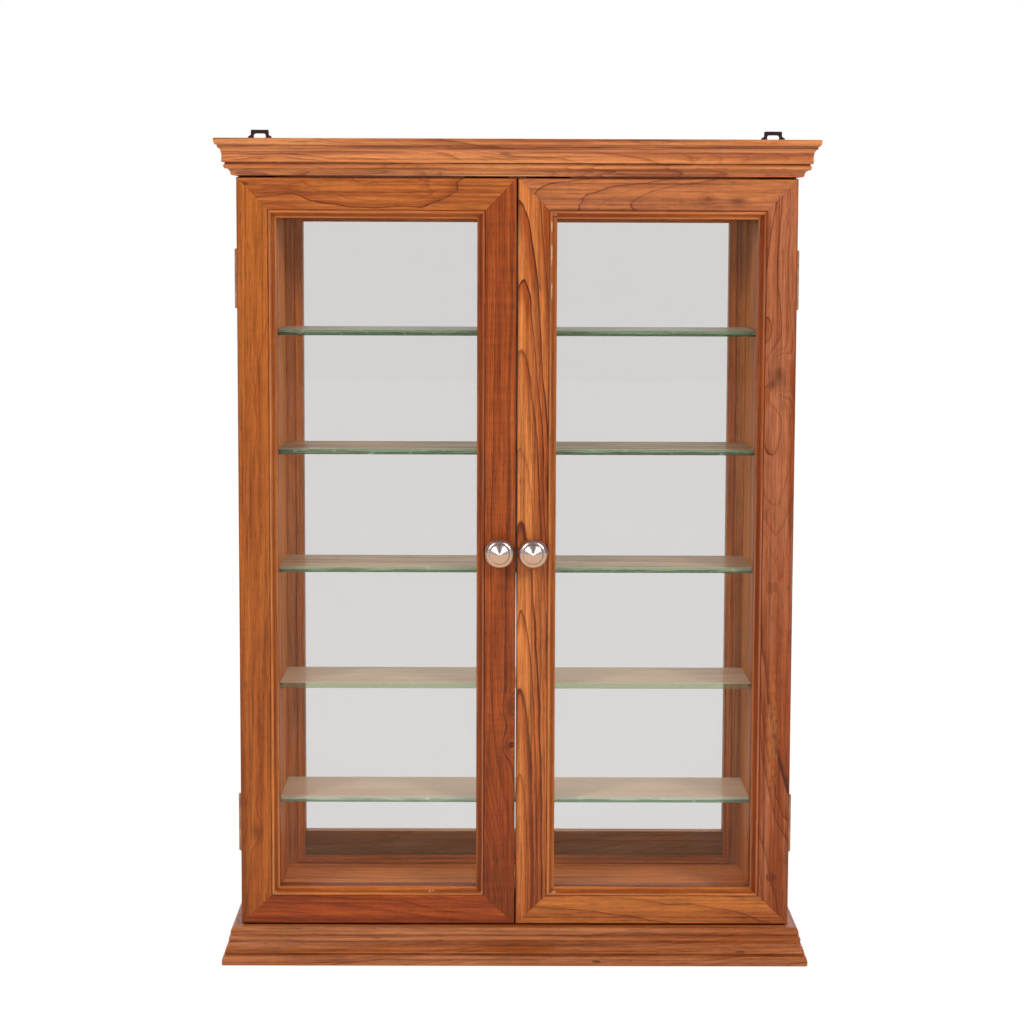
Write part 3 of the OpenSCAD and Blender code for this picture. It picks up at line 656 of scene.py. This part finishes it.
DOOR_BOARDS = {
    "left_hinge_stile": Board(
        "zxy", pith=(70, 90), lean=(0.02, 0.05), ring=7, wavy=2, figure=0.4, streaks=0.7,
        threads=0.35, fade=-1.3, stain=(0.88, 0.88, 0.68), seed=1, knots=((-257, -3, 9, 7),),
        bands=outline("x", EDGE)),
    "left_meeting_stile": Board(
        "zxy", pith=(160, 10), lean=(0.01, 0), ring=2.7, line=0.4, wander=4, wavy=0.5,
        ragged=0.25, figure=1.15, tones=RED_TEAK, streaks=0.35, threads=0.45,
        ripple=0.4, fade=-0.6, stain=(1.3, 1.27, 0.98), seed=2,
        knots=((-140, 15, 7, -12), (-176, 11, 7, -11), (-335, -30, 65, 50)),
        bands=outline("x", MEET)),
    "left_top_rail": Board(
        "xzy", pith=(4, 22), lean=(0.04, 0.09), line=0.9, wander=24, wavy=2.5, figure=0.95,
        streaks=1, threads=0.5, stain=(0.99, 1.04, 1.15), seed=3,
        marks=((-208, 715, 32, 3, "chestnut", 0.6), (-60, 712, 24, 1.6, "russet", 0.5),
               (-120, 703, 30, 1.8, "russet", 0.4)),
        bands=outline("z", DOOR_TOP)),
    "left_bottom_rail": Board(
        "xzy", pith=(-60, 40), lean=(0.03, 0.1), ring=5, wander=12, tones=RED_TEAK,
        streaks=0.8, stain=(1.2, 1.05, 0.85), seed=4, bands=outline("z", DOOR_FOOT)),
    "right_meeting_stile": Board(
        "zxy", pith=(-14, 8), lean=(0, 0.05), ring=3.7, line=1.2, wander=3.5, wavy=1.6,
        ragged=0.4, figure=1.25, tones=TEAK, threads=0.45, fade=-0.6,
        stain=(1, 0.92, 0.78), seed=5, bands=outline("x", MEET)),
    "right_hinge_stile": Board(
        "zxy", pith=(6, 22), lean=(-0.07, -0.06), ring=4.5, line=1, wander=12, wavy=2.4,
        figure=1, tones=ROSY_TEAK, streaks=0.8, fade=-0.9, stain=(0.84, 0.8, 0.77),
        seed=6, knots=((166, 1, 12, 19), (158, -4, 6, -8)),
        marks=((237.7, 80.7, 5.6, 4.6, "chestnut", 0.75), (234.7, 352, 7, 6, "chestnut", 0.4),
               (237, 215, 6, 75, "honey", 0.55), (243, 310, 4, 50, "chestnut", 0.35),
               (236, 328, 6, 18, "chestnut", 0.35)),
        bands=outline("x", EDGE)),
    "right_top_rail": Board(
        "xzy", pith=(2, 20), lean=(0.02, -0.12), line=0.8, wavy=2, figure=0.8,
        tones=("honey", "rosy"), streaks=0.8, stain=(0.74, 0.68, 0.74), seed=7,
        knots=((45, 0, 8, 11), (72, -2, 8, 9)), bands=outline("z", DOOR_TOP)),
    "right_bottom_rail": Board(
        "xzy", pith=(-40, 60), lean=(0.02, 0.08), ring=5, wander=12, wavy=2, figure=0.7,
        streaks=0.8, stain=(1.05, 1.18, 1.25), seed=8,
        bands=outline("z", DOOR_FOOT) + (("z", 42, 0.7, "umber", 0.6),)),
}
TOP_SHADE = (("z", 716, 34, "umber", 0.6),)  # the dark tops of the boards inside
CARCASS_BOARDS = {
    # The side panels' paler stains are painted light, for the light inside the cabinet
    "left_side_panel": Board(
        "zyx", pith=(120, 70), lean=(0.02, 0.03), ring=6, figure=0.4, tones=TEAK,
        fade=-0.5, stain=(1.3, 1.25, 1), sheen=0.1, seed=11, bands=TOP_SHADE),
    "right_side_panel": Board(
        "zyx", pith=(-110, -60), lean=(0, 0.05), ring=6, figure=0.4, tones=TEAK,
        stain=(1.15, 1.18, 1), sheen=0.1, seed=12, bands=TOP_SHADE),
    "base_board": Board(
        "xyz", pith=(20, 80), lean=(0.03, 0.04), ring=6, figure=0.4, seed=13),
    "top_board": Board(
        "xyz", pith=(-20, -80), lean=(0.03, 0.04), ring=6, figure=0.4, seed=14),
    # paler stain: painted light on the floor inside
    "floor_board": Board(
        "xyz", pith=(30, -70), lean=(0.02, 0.05), ring=6, tones=PALE_TEAK, streaks=0.8,
        stain=(1.4, 1.3, 1.2), seed=15),
    "back_stile_left": Board(
        "zxy", pith=(70, 60), ring=5, figure=0.25, tones=TEAK, streaks=0.35,
        seed=16, bands=TOP_SHADE),
    "back_stile_right": Board(
        "zxy", pith=(-70, 60), ring=5, figure=0.25, tones=TEAK, streaks=0.35,
        stain=(1, 1.1, 1.1), seed=17, bands=TOP_SHADE),
    # darker stain: painted shade on the back top rail, under the top
    "back_rail_top": Board(
        "xzy", pith=(50, 60), ring=5, figure=0.4, tones=RED_TEAK,
        stain=(0.65, 0.62, 0.6), seed=18),
    # paler stain and a pale band on its top face: painted light, the top face lit from behind
    "back_rail_bottom": Board(
        "xzy", pith=(40, 60), lean=(0.02, 0.06), ring=5, figure=0.45, tones=PALE_TEAK,
        stain=(1.42, 1.65, 1.6), seed=19, bands=(("y", 62, 4.6, "filler", 0.7),)),
}
# Painted shade in the cornice's quirks (umber) and painted highlights on its rounds (honey), by
# height
CORNICE_SHADE_AND_HIGHLIGHTS = (("z", 750.7, 0.8, "umber", 0.85), ("z", 748, 1, "honey", 0.6),
                 ("z", 736.3, 0.6, "umber", 0.9), ("z", 733.6, 0.9, "honey", 0.6),
                 ("z", 738.4, 0.7, "honey", 0.6), ("z", 729.6, 1.1, "umber", 0.35),
                 ("z", 727.2, 0.5, "umber", 0.6), ("z", 753.5, 0.7, "honey", 0.35),
                 ("z", 758, 0.5, "honey", 0.4))
# Painted shade in the plinth's quirks (umber) and painted highlights on its rounds (honey), by
# height
PLINTH_SHADE_AND_HIGHLIGHTS = (("z", 10.3, 0.7, "umber", 0.65), ("z", 12.2, 0.7, "honey", 0.35),
                ("z", 21.4, 0.6, "umber", 0.45), ("z", 24.2, 0.9, "honey", 0.45),
                ("z", 26.9, 0.6, "umber", 0.6), ("z", 31.5, 1.1, "honey", 0.3),
                ("z", 1.6, 0.9, "honey", 0.4), ("z", 0.2, 0.5, "umber", 0.5))
CORNICE_EYES = ((122, 733, 11, 1.7, "russet", 0.6), (156, 741, 9, 3, "russet", 0.5),
                (-11, 745, 6, 2.2, "chestnut", 0.55), (-66, 744, 14, 2.6, "russet", 0.55),
                (-150, 740, 18, 1.6, "russet", 0.4), (40, 752, 12, 1.2, "russet", 0.45))
PLINTH_SPOTS = ((75.6, 4.3, 4.5, 1.6, "umber", 0.6), (208.4, 13, 5.5, 1.3, "umber", 0.6),
                (-128, 24.7, 5, 1.2, "umber", 0.5))
MOULDING_BOARDS = {
    "cornice_front": Board(
        "xzy", pith=(-6, 30), lean=(0.02, 0.1), line=0.8, wander=18, wavy=2.5, figure=0.7,
        tones=TEAK, streaks=0.9, stain=(1.1, 1.13, 1.2), sheen=1.8, seed=21,
        marks=CORNICE_EYES, bands=CORNICE_SHADE_AND_HIGHLIGHTS),
    "plinth_front": Board(
        "xzy", pith=(30, 60), lean=(0.02, 0.05), ring=4.5, wander=10, wavy=2, figure=0.7,
        tones=ROSY_TEAK, streaks=1, stain=(0.92, 0.98, 0.96), sheen=0.7, seed=24,
        marks=PLINTH_SPOTS, bands=PLINTH_SHADE_AND_HIGHLIGHTS),
}
for number, (side, into) in enumerate((("left", 50), ("right", -50))):
    MOULDING_BOARDS["cornice_" + side] = Board(
        "yzx", pith=(-40, into), ring=5, figure=0.4, tones=TEAK, seed=22 + number,
        bands=CORNICE_SHADE_AND_HIGHLIGHTS)
    MOULDING_BOARDS["plinth_" + side] = Board(
        "yzx", pith=(30, into), ring=4.5, figure=0.4, tones=ROSY_TEAK, seed=25 + number,
        bands=PLINTH_SHADE_AND_HIGHLIGHTS)


def finish_board(bm, node, board, slot="lacquered_teak"):
    """Eases a board's edges and its mitres, and gives it its timber."""
    settings = bpy.context.scene.cabinet_timber
    ease_edges(bm, settings.ease, level_or_upright)
    ease_edges(bm, settings.joint_line, lambda edge: not level_or_upright(edge), segments=1)
    finish(bm, node + "_board", node, [timber(node, board, centre_of(node))], slot)


class CABINET_OT_carcass(bpy.types.Operator):
    """Sides, boards and back frame of the carcass"""

    bl_idname = "cabinet.carcass"
    bl_label = "Carcass"

    def execute(self, context):
        for node, board in CARCASS_BOARDS.items():
            slot = "dark_teak" if node in ("base_board", "top_board") else "lacquered_teak"
            finish_board(merged_copy(node), node, board, slot)
        return {"FINISHED"}


class CABINET_OT_mouldings(bpy.types.Operator):
    """Cornice and plinth, with mitred returns"""

    bl_idname = "cabinet.mouldings"
    bl_label = "Mouldings"

    def execute(self, context):
        for node, board in MOULDING_BOARDS.items():
            finish_board(merged_copy(node), node, board)
        return {"FINISHED"}


GAP_ABOVE, GAP_BELOW = 0.01 * MM, 0.38 * MM  # half the gap that is left at the doors' backs
GAP_RUN = 60 * MM  # the height over which the gap opens


def close_gap(bm, side, height):
    """Slants a door's meeting edge back towards the other door, which it nearly meets up high."""
    for cut in (height, height - GAP_RUN):
        bmesh.ops.bisect_plane(bm, geom=bm.verts[:] + bm.edges[:] + bm.faces[:], dist=EXACT,
                               plane_co=(0, 0, cut), plane_no=(0, 0, 1))
    back = max(v.co.y for v in bm.verts)
    edge = min(abs(v.co.x) for v in bm.verts)
    for above, left_open in ((True, GAP_ABOVE), (False, GAP_BELOW)):
        moved = [v for v in bm.verts if v.co.y > back - NEAR and abs(v.co.x) < edge + NEAR
                 and (v.co.z > height - 1 * MM) == above]
        bmesh.ops.translate(bm, verts=moved, vec=(-side * (edge - left_open), 0, 0))


def on_outline(edge, node, low, high):
    """True for an edge on the outline of a door, at its front and away from the other door."""
    mid = (edge.verts[0].co + edge.verts[1].co) / 2
    end_z = high.z if "top" in node else low.z
    side_x = high.x if node.startswith("right") else low.x
    at_end = "rail" in node and abs(mid.z - end_z) < NEAR
    at_side = "hinge" in node and abs(mid.x - side_x) < NEAR
    return level_or_upright(edge) and mid.y < low.y + NEAR and (at_end or at_side)


class CABINET_OT_doors(bpy.types.Operator):
    """Mitred stiles and rails of both doors"""

    bl_idname = "cabinet.doors"
    bl_label = "Door frames"

    def execute(self, context):
        settings = context.scene.cabinet_timber
        for node, board in DOOR_BOARDS.items():
            bm = merged_copy(node)
            low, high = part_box(node)
            if "meeting" in node:
                close_gap(bm, -1 if node.startswith("left") else 1, settings.gap_closed)
            ease_edges(bm, settings.arris, lambda edge: on_outline(edge, node, low, high))
            finish_board(bm, node, board)
        return {"FINISHED"}


# Painted shade in a bead's quirk and hollow, and painted highlights along its ridge and inner
# edge: distance from the outer edge, half width, tone and weight.
BEAD_SHADE_AND_HIGHLIGHTS = ((0.1, 0.5, "umber", 0.8), (1.7, 0.6, "filler", 0.13), (4.2, 1.2, "chestnut", 0.45),
              (6.7, 0.5, "honey", 0.6))
BEAD_SPECKS = {
    "left_glazing_beads": (
        (-79, 66.3, 1.2, 0.7, "filler", 0.45), (-76, 66.6, 0.9, 0.8, "filler", 0.4),
        (-222, 66, 1, 1, "filler", 0.4), (-31, 66, 1.1, 1, "filler", 0.4)),
    "right_glazing_beads": (
        (31.2, 655, 0.6, 10, "filler", 0.5), (31.3, 622, 0.5, 8, "filler", 0.5),
        (31.2, 680, 0.5, 6, "filler", 0.5), (34, 691, 2.4, 1.2, "filler", 0.5),
        (36, 66, 2.2, 1, "filler", 0.4)),
}
# The strips' stains, in the order of their materials: painted light on the left and level
# strips, and a much darker stain as painted shade on the right-hand strips, which face away from
# the light.
BEAD_STAIN_WITH_PAINTED_LIGHT = {"left": (1.07, 1.16, 1.05), "right": (0.70, 0.55, 0.44),
              "level": (1.14, 1.16, 1.06)}
BACK_STAIN = (1.3, 1.4, 1.4)
# How strongly each bead's painted shade and highlights show
BEAD_PAINTED_LIGHT_WEIGHT = {"left_glazing_beads": 1, "right_glazing_beads": 1, "back_glazing_beads": 0.12}
BEAD_SEED = 31


class CABINET_OT_beads(bpy.types.Operator):
    """Glazing beads round the panes"""

    bl_idname = "cabinet.beads"
    bl_label = "Glazing beads"

    def execute(self, context):
        settings = context.scene.cabinet_timber
        for number, (node, wear_and_painted_light) in enumerate(BEAD_PAINTED_LIGHT_WEIGHT.items()):
            bm = merged_copy(node)
            low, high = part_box(node)
            centre, half = centre_of(node), (high - low) / (2 * MM)
            for faces in islands(bm):
                xs = [v.co.x for f in faces for v in f.verts]
                zs = [v.co.z for f in faces for v in f.verts]
                level = max(xs) - min(xs) > max(zs) - min(zs)
                at_right = sum(xs) / len(xs) > centre.x
                strip = "level" if level else "right" if at_right else "left"
                for face in faces:
                    face.material_index = list(BEAD_STAIN_WITH_PAINTED_LIGHT).index(strip)
            ease_edges(bm, settings.joint_line, level_or_upright, segments=1)
            materials = []
            for strip, stain in BEAD_STAIN_WITH_PAINTED_LIGHT.items():
                axes, outer = ("xzy", half.z) if strip == "level" else ("zxy", half.x)
                board = Board(
                    axes, pith=(60, 60), ring=3.0, figure=0.5, wander=6, seed=BEAD_SEED + number,
                    stain=BACK_STAIN if node.startswith("back") else stain,
                    marks=BEAD_SPECKS.get(node, ()),
                    # bands of painted shade and highlight across the strip
                    bands=[("across", outer - at, wide, tone, weight * wear_and_painted_light)
                           for at, wide, tone, weight in BEAD_SHADE_AND_HIGHLIGHTS])
                materials.append(timber(node + "_" + strip, board, centre))
            finish(bm, node + "_strips", node, materials, "bead_teak")
        return {"FINISHED"}


class CABINET_OT_panes(bpy.types.Operator):
    """Clear panes of the doors and the back"""

    bl_idname = "cabinet.panes"
    bl_label = "Panes"

    def execute(self, context):
        glass = context.scene.cabinet_glass
        door = clear_glass("door_pane", glass.door_tint, glass.facing_gloss, glass.haze)
        back = clear_glass("back_pane", glass.back_tint, glass.facing_gloss)
        panes = {"left_door_glass": door, "right_door_glass": door, "back_glass": back}
        for node, material in panes.items():
            bm = merged_copy(node)
            ease_edges(bm, PANE_EASE, level_or_upright, segments=1)
            finish(bm, node + "_pane", node, [material], "pane_glass")
        return {"FINISHED"}


# Pale and deep tone of each shelf's edge, and how much is seen through it.
SHELF_EDGES = {"shelf_5": ((104, 140, 106), (36, 70, 48), 0.15),
               "shelf_4": ((112, 146, 110), (40, 74, 50), 0.15),
               "shelf_3": ((150, 170, 134), (48, 94, 60), 0.20),
               "shelf_2": ((180, 192, 156), (140, 156, 120), 0.85),
               "shelf_1": ((196, 208, 184), (84, 126, 98), 0.30)}
UNDER, RIM, TOP, BACK = range(4)  # the order of a shelf's materials


class CABINET_OT_shelves(bpy.types.Operator):
    """Glass shelves with green edges"""

    bl_idname = "cabinet.shelves"
    bl_label = "Shelves"

    def execute(self, context):
        glass = context.scene.cabinet_glass
        gloss, front = glass.facing_gloss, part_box("shelf_3")[0].y
        under = clear_glass("shelf_underside", glass.shelf_tint, gloss)
        back = clear_glass("shelf_back_edge", glass.edge_clear, gloss)
        top = dusty_top("shelf_top", glass.shelf_tint, gloss, front)
        for node, (pale, deep, clear) in SHELF_EDGES.items():
            bm = merged_copy(node)
            ease_edges(bm, SHELF_EASE, level_or_upright)
            for face in bm.faces:
                if abs(face.normal.z) > 0.9:
                    face.material_index = TOP if face.normal.z > 0 else UNDER
                else:
                    face.material_index = BACK if face.normal.y > 0.5 else RIM
            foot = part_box(node)[0].z
            rim = edge_glass(node + "_edge", srgb(*pale), srgb(*deep), clear, foot)
            finish(bm, node + "_sheet", node, [under, rim, top, back], "shelf_glass")
        return {"FINISHED"}


class CABINET_OT_knobs(bpy.types.Operator):
    """Turned steel knobs"""

    bl_idname = "cabinet.knobs"
    bl_label = "Knobs"

    def execute(self, context):
        for node in ("left_knob", "right_knob"):
            low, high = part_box(node)
            hub = Vector(((low.x + high.x) / 2, high.y, (low.z + high.z) / 2))
            rim, tall = (high.x - low.x) / (2 * MM), (high.y - low.y) / MM
            bm = lathe([(r * MM, d * MM) for r, d in knob_section(rim, tall)], hub)
            finish(bm, node + "_turned", node, [turned_steel(node, hub)], "satin_steel")
        for node in ("left_knob_screw", "right_knob_screw"):
            bm = merged_copy(node)
            finish(bm, node + "_bolt", node, [turned_steel(node, centre_of(node))], "satin_steel")
        return {"FINISHED"}


def knob_section(rim, tall):
    """Half a knob's outline from foot to point, as radii and distances in millimetres."""
    foot, neck, face, shoulder = 6.6, 4.7, rim - 4.0, tall - 9.2
    step, cone, rings = face - 0.8, shoulder + 4.85, 6
    points = [(0, 0), (foot - 0.2, 0), (foot, 0.2), (foot, 1.0), (foot - 0.2, 1.2)]
    points += arc(neck + 1.9, 2.8, 1.9, 1.6, 264, 180, 6)  # neck
    points += arc(neck + 1.6, 3.4, 1.6, 1.6, 180, 90, 6)
    points += arc(rim - 3.0, 8.6, 3.0, 3.2, -80, 0, 10)  # back of the drum
    points += arc(face - 0.4, shoulder, rim - face + 0.4, 4.0, 6, 84, 14)
    points += [(face, shoulder + 4.0), (face - 0.35, shoulder + 4.7)]  # groove
    points += [(step * (1 - t / rings), cone + (tall - cone) * t / rings) for t in range(rings)]
    return points + [(0.4, tall - 0.2), (0, tall)]


HINGE_PARTS = ("hinge_leaf_{}_upper", "hinge_leaf_{}_lower", "{}_door_leaf_upper",
               "{}_door_leaf_lower", "hinge_pins_{}", "{}_door_screws")
HINGE_NODES = [node.format(side) for side in ("left", "right") for node in HINGE_PARTS]


class CABINET_OT_metalwork(bpy.types.Operator):
    """Hinges, hangers, catches and screws"""

    bl_idname = "cabinet.metalwork"
    bl_label = "Metalwork"

    def execute(self, context):
        metal = context.scene.cabinet_metal
        groups = (  # nodes, slot, name, tone, stain, metallic, roughness, patches to the metre
            (HINGE_NODES + ["cabinet_hinge_screws"], "aged_brass",
             "hinge_metal", metal.brass, srgb(158, 108, 78), 0.5, 0.42, 90.0),
            (["hanger_left", "hanger_right", "hanger_screws", "catch_magnets"], "black_iron",
             "hanger_iron", metal.iron, srgb(44, 30, 28), 0.6, 0.5, 160.0),
            (["left_strike_plate", "right_strike_plate", "catch_screws"], "satin_steel",
             "plate_steel", metal.steel, srgb(150, 144, 138), 1.0, 0.35, 90.0),
            (["magnetic_catches"], "catch_plastic",
             "catch_plastic", srgb(84, 52, 36), srgb(62, 38, 28), 0.0, 0.5, 60.0))
        for nodes, slot, *look in groups:
            material = dull_metal(*look)
            for node in nodes:
                bm = merged_copy(node)
                ease_edges(bm, METAL_EASE, level_or_upright, least=2 * MM)
                finish(bm, node + "_fitting", node, [material], slot)
        return {"FINISHED"}


# ---------- The stage ----------

FLOOR_HALF, FLOOR_DROP = 9.0, 0.3 * MM  # the floor's half width, and how far it lies below 0
LAMP_AIM = (0.0, 0.0, 0.4)
LAMPS = (("soft_left", (-1.9, -2.2, 2.0), (0.6, 1.0), 1.0),
         ("soft_right", (1.9, -2.2, 2.0), (0.8, 1.0), 1.15))  # name, place, size, share of power
SENSOR = 36.0


def ray_kinds(g):
    """1 on rays straight from the camera, on mirrored rays and on rays through glass."""
    kinds = ("Is Camera Ray", "Is Glossy Ray", "Is Transmission Ray")
    return [g.node("ShaderNodeLightPath", out=kind) for kind in kinds]


def studio_floor():
    """A pale floor that looks white and still takes the cabinet's shadow."""
    bm = bmesh.new()
    bmesh.ops.create_grid(bm, x_segments=2, y_segments=2, size=FLOOR_HALF)
    bmesh.ops.translate(bm, verts=bm.verts, vec=(0, 0, -FLOOR_DROP))
    mesh = bpy.data.meshes.new("studio_floor")
    bm.to_mesh(mesh)
    bm.free()
    floor = new_object("studio_floor", mesh)
    g = new_graph("studio_floor")
    camera, glossy, through = ray_kinds(g)
    seen = g.math("MAXIMUM", g.math("MAXIMUM", camera, glossy), through)
    plain, dimmed = g.diffuse(srgb(240, 240, 240)), g.diffuse(srgb(115, 115, 115))
    glow = g.node("ShaderNodeEmission", {"Color": WHITE, "Strength": 0.88})
    bright = g.node("ShaderNodeAddShader", {0: dimmed, 1: glow})
    g.output(g.mixed(seen, plain, bright))
    mesh.materials.append(g.owner)


def studio_world(settings):
    """Even light from all round, white where the camera sees it, with a dimmer room in front."""
    world = bpy.data.worlds.new("studio_world")
    bpy.context.scene.world = world
    g = Graph(world)
    camera, glossy, through = ray_kinds(g)
    y, z = g.split(g.node("ShaderNodeTexCoord", out="Generated"))[1:]
    mirror = g.smooth(y, 0.15, 0.6) * (1.0 - settings.room) + settings.room
    ambient = (g.smooth(z, -0.2, 0.9) * 0.35 + 0.82) * settings.ambient
    ambient = ambient + g.smooth(y, -0.1, 0.4) * (settings.behind - settings.ambient)
    mirrored = g.math("MAXIMUM", glossy, through)
    strength = ambient * (1.0 - mirrored) + mirror * mirrored
    strength = strength * (1.0 - camera) + camera
    backdrop = g.node("ShaderNodeBackground", {"Color": WHITE, "Strength": strength})
    g.output(backdrop, "ShaderNodeOutputWorld")


def soft_lamp(name, place, size, power):
    light = bpy.data.lights.new(name, "AREA")
    light.shape, light.energy = "RECTANGLE", power
    light.size, light.size_y = size
    lamp = new_object(name, light)
    turn = (Vector(LAMP_AIM) - Vector(place)).to_track_quat("-Z", "Y")
    lamp.matrix_world = Matrix.LocRotScale(Vector(place), turn, None)


def studio_camera(settings):
    """The camera, from its place and its three turns."""
    camera = new_object("studio_camera", bpy.data.cameras.new("studio_camera"))
    camera.data.sensor_width, camera.data.lens = SENSOR, settings.lens
    camera.data.clip_start, camera.data.clip_end = 0.05, 60.0
    pitch, yaw, roll = settings.pitch, settings.yaw, settings.roll
    ahead = Vector((math.sin(yaw) * math.cos(pitch), math.cos(yaw) * math.cos(pitch),
                    -math.sin(pitch)))
    level = Vector((math.cos(yaw), -math.sin(yaw), 0.0))
    upright = level.cross(ahead)
    right = level * math.cos(roll) + upright * math.sin(roll)
    up = upright * math.cos(roll) - level * math.sin(roll)
    turn = Matrix((right, up, -ahead)).transposed()
    camera.matrix_world = Matrix.Translation(Vector(settings.eye)) @ turn.to_4x4()
    bpy.context.scene.camera = camera


class CABINET_OT_stage(bpy.types.Operator):
    """Floor, soft light and the camera"""

    bl_idname = "cabinet.stage"
    bl_label = "Stage"

    def execute(self, context):
        settings = context.scene.cabinet_studio
        studio_floor()
        studio_world(settings)
        for name, place, size, share in LAMPS:
            soft_lamp(name, place, size, settings.lamp_power * share)
        studio_camera(settings)
        context.scene.view_settings.view_transform = "Standard"
        return {"FINISHED"}


# ---------- The add-on ----------

class CABINET_PT_panel(bpy.types.Panel):
    """Settings and steps of the cabinet"""

    bl_idname = "CABINET_PT_panel"
    bl_label = "Display cabinet"
    bl_space_type = "VIEW_3D"
    bl_region_type = "UI"
    bl_category = "Cabinet"

    def draw(self, context):
        for step in STEPS:
            self.layout.operator(step.bl_idname)
        for group in SETTINGS:
            box = self.layout.box()
            values = getattr(context.scene, group)
            for name in SETTINGS[group].__annotations__:
                box.prop(values, name)


STEPS = (CABINET_OT_carcass, CABINET_OT_mouldings, CABINET_OT_doors, CABINET_OT_beads,
         CABINET_OT_panes, CABINET_OT_shelves, CABINET_OT_knobs, CABINET_OT_metalwork,
         CABINET_OT_stage)
SETTINGS = {"cabinet_timber": CabinetTimberSettings, "cabinet_glass": CabinetGlassSettings,
            "cabinet_metal": CabinetMetalSettings, "cabinet_studio": CabinetStudioSettings}
CLASSES = (*SETTINGS.values(), *STEPS, CABINET_PT_panel)


def register():
    for group in CLASSES:
        bpy.utils.register_class(group)
    for name, group in SETTINGS.items():
        setattr(bpy.types.Scene, name, PointerProperty(type=group))


def unregister():
    for name in SETTINGS:
        delattr(bpy.types.Scene, name)
    for group in reversed(CLASSES):
        bpy.utils.unregister_class(group)


def main():
    register()
    for step in STEPS:
        area, name = step.bl_idname.split(".")
        getattr(getattr(bpy.ops, area), name)()


if __name__ == "__main__":
    main()
